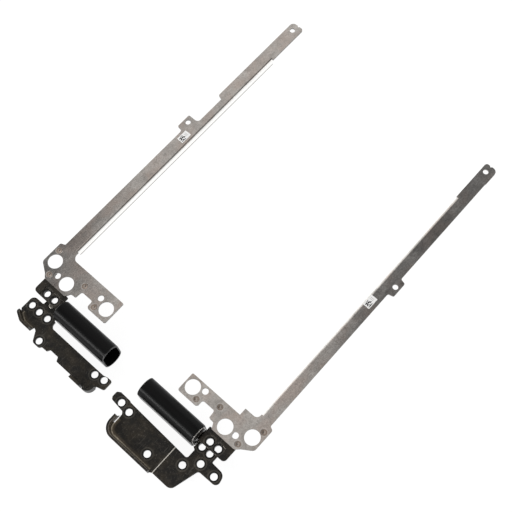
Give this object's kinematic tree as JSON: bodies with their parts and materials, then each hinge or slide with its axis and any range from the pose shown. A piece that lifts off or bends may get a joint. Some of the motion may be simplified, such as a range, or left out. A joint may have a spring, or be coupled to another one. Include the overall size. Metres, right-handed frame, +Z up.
{
  "type": "laptop hinge pair",
  "caption": "Left and right twin-shaft laptop hinges with stamped base brackets, oval barrels and long screen arms, laid open flat",
  "frame": {"origin": "centre of the pair's footprint, on the surface that the barrels stand on", "axes": "+X along the shafts from the left hinge to the right one, +Y towards the tips of the arms, +Z up"},
  "size_m": [0.1112, 0.1748, 0.0146],
  "materials": {
    "bare_plated_steel": "satin",
    "black_coated_steel": "satin, lightly scuffed",
    "matt_black_barrel": "matt",
    "shaft_steel": "turned",
    "spring_steel": "oiled",
    "white_label_paper": "matt"
  },
  "bodies": {
    "base": {"left_base_bracket": "black_coated_steel", "left_base_shaft": "shaft_steel", "left_base_washers": "spring_steel", "left_base_disc_springs": "spring_steel", "left_base_nut": "shaft_steel", "left_base_rivets": "shaft_steel", "right_base_bracket": "black_coated_steel", "right_base_shaft": "shaft_steel", "right_base_washers": "spring_steel", "right_base_disc_springs": "spring_steel", "right_base_nut": "shaft_steel"},
    "left_barrel": {"left_barrel_cover": "matt_black_barrel", "left_end_plate": "shaft_steel", "left_link_plates": "spring_steel"},
    "left_lid": {"left_lid_bracket": "bare_plated_steel", "left_code_label": "white_label_paper", "left_lid_leaf": "black_coated_steel", "left_lid_shaft": "shaft_steel", "left_lid_washers": "spring_steel", "left_lid_disc_springs": "spring_steel", "left_lid_nut": "shaft_steel"},
    "right_barrel": {"right_barrel_cover": "matt_black_barrel", "right_end_plate": "shaft_steel", "right_link_plates": "spring_steel"},
    "right_lid": {"right_lid_bracket": "bare_plated_steel", "right_code_label": "white_label_paper", "right_lid_leaf": "black_coated_steel", "right_lid_shaft": "shaft_steel", "right_lid_washers": "spring_steel", "right_lid_disc_springs": "spring_steel", "right_lid_nut": "shaft_steel"}
  },
  "joints": [
    {"name": "left_barrel_turn", "type": "hinge", "parent": "base", "child": "left_barrel", "pos_m": [-0.0225, -0.0656, 0.0041], "axis": [1, 0, 0], "range_deg": [-180, 0]},
    {"name": "left_lid_turn", "type": "hinge", "parent": "left_barrel", "child": "left_lid", "pos_m": [-0.0225, -0.0656, 0.0105], "axis": [1, 0, 0], "range_deg": [0, 180]},
    {"name": "right_barrel_turn", "type": "hinge", "parent": "base", "child": "right_barrel", "pos_m": [0.0225, -0.0656, 0.0041], "axis": [1, 0, 0], "range_deg": [-180, 0]},
    {"name": "right_lid_turn", "type": "hinge", "parent": "right_barrel", "child": "right_lid", "pos_m": [0.0225, -0.0656, 0.0105], "axis": [1, 0, 0], "range_deg": [0, 180]}
  ]
}
